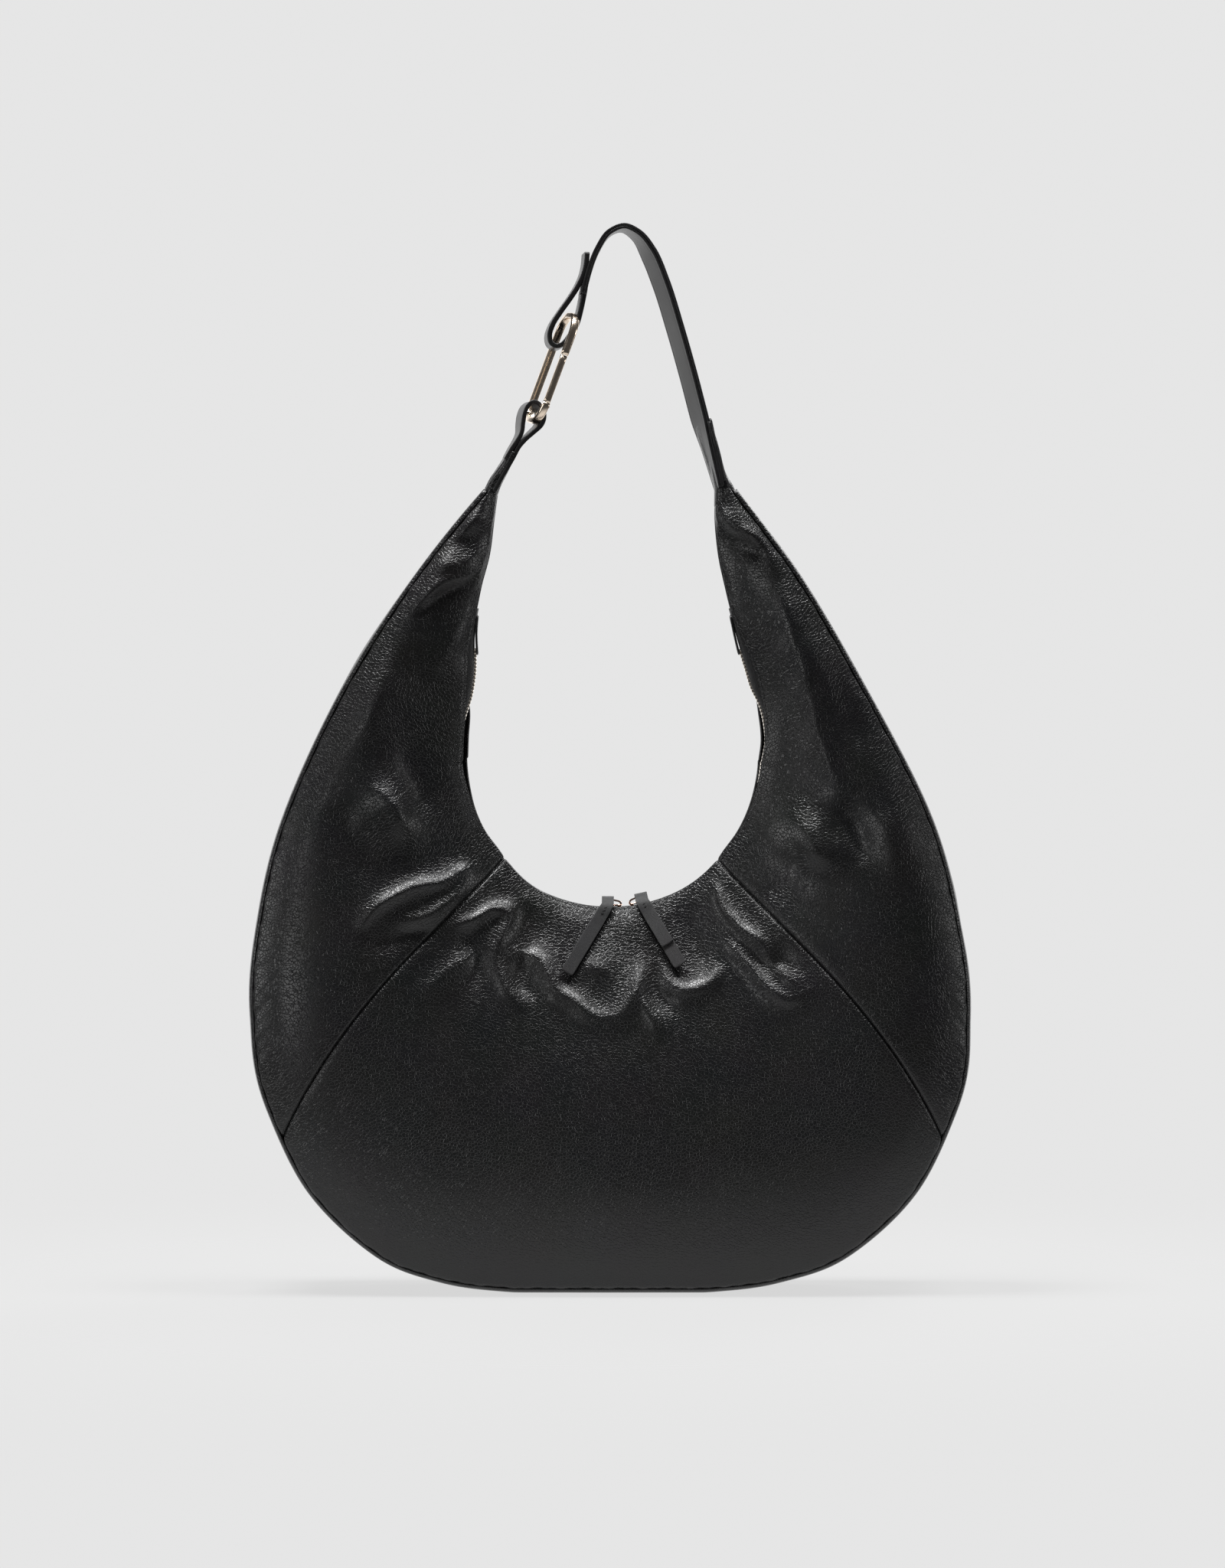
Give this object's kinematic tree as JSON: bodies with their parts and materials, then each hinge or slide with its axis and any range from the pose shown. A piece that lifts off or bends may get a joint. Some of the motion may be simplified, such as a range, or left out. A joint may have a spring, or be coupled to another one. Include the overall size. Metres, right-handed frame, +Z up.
{
  "type": "hobo bag",
  "caption": "Crescent-shaped leather hobo bag with a U-shaped two-slider zip, a short shoulder strap and a sprung oval ring.",
  "frame": {"origin": "centre of the bounding box's bottom, on the surface that the bag stands on", "axes": "+X to the bag's right as seen from the front, -Y out of the front, +Z up"},
  "size_m": [0.4492, 0.1124, 0.6661],
  "materials": {
    "pebbled_leather": "pebbled, satin",
    "smooth_leather": "smooth, satin, painted edges",
    "pull_leather": "matte",
    "lining_fabric": "plain weave",
    "base_board": "matt board",
    "pale_gold": "polished"
  },
  "bodies": {
    "bag": {"front_center_panel": "pebbled_leather", "front_left_wing": "pebbled_leather", "front_right_wing": "pebbled_leather", "back_center_panel": "pebbled_leather", "back_left_wing": "pebbled_leather", "back_right_wing": "pebbled_leather", "outer_gusset": "pebbled_leather", "gusset_lining": "lining_fabric", "base_board": "base_board", "front_lining": "lining_fabric", "back_lining": "lining_fabric", "slip_pocket": "lining_fabric", "front_tooth_row": "pale_gold", "back_tooth_row": "pale_gold", "front_zip_tape": "lining_fabric", "back_zip_tape": "lining_fabric", "left_zip_end_tab": "smooth_leather", "right_zip_end_tab": "smooth_leather", "left_horn_neck": "pebbled_leather", "right_horn_neck": "pebbled_leather"},
    "left_slider": {"left_slider_body": "pale_gold", "left_slider_crown": "pale_gold"},
    "left_pull": {"left_pull_tab": "pull_leather"},
    "right_slider": {"right_slider_body": "pale_gold", "right_slider_crown": "pale_gold"},
    "right_pull": {"right_pull_tab": "pull_leather"},
    "strap": {"strap_outer_ply": "smooth_leather", "strap_inner_ply": "smooth_leather", "strap_upper_loop": "smooth_leather", "left_horn_tab": "smooth_leather", "right_horn_wrap": "smooth_leather", "ring_body": "pale_gold", "gate_pin": "pale_gold"},
    "gate": {"ring_gate": "pale_gold"}
  },
  "joints": [
    {"name": "left_slider_run", "type": "hinge", "parent": "bag", "child": "left_slider", "pos_m": [0, 0, 0.3305], "axis": [0, 1, 0], "range_deg": [0, 96]},
    {"name": "left_pull_swing", "type": "hinge", "parent": "left_slider", "child": "left_pull", "pos_m": [-0.00061, 0, 0.2435], "axis": [-1, 0, 0.007], "range_deg": [0, 140]},
    {"name": "right_slider_run", "type": "hinge", "parent": "bag", "child": "right_slider", "pos_m": [0, 0, 0.3305], "axis": [0, -1, 0], "range_deg": [0, 84]},
    {"name": "right_pull_swing", "type": "hinge", "parent": "right_slider", "child": "right_pull", "pos_m": [0.01868, 0, 0.24553], "axis": [-0.9767, 0, -0.2147], "range_deg": [0, 140]},
    {"name": "strap_swing", "type": "hinge", "parent": "bag", "child": "strap", "pos_m": [0, 0, 0.514], "axis": [1, 0, 0], "range_deg": [-85, 85], "stiffness_Nm_per_rad": 0.15, "deforming": ["left_horn_neck", "right_horn_neck"]},
    {"name": "gate_swing", "type": "hinge", "parent": "strap", "child": "gate", "pos_m": [-0.04054, -0.01531, 0.55175], "axis": [-0.8963, -0.2912, 0.3345], "range_deg": [0, 20], "stiffness_Nm_per_rad": 0.02}
  ]
}
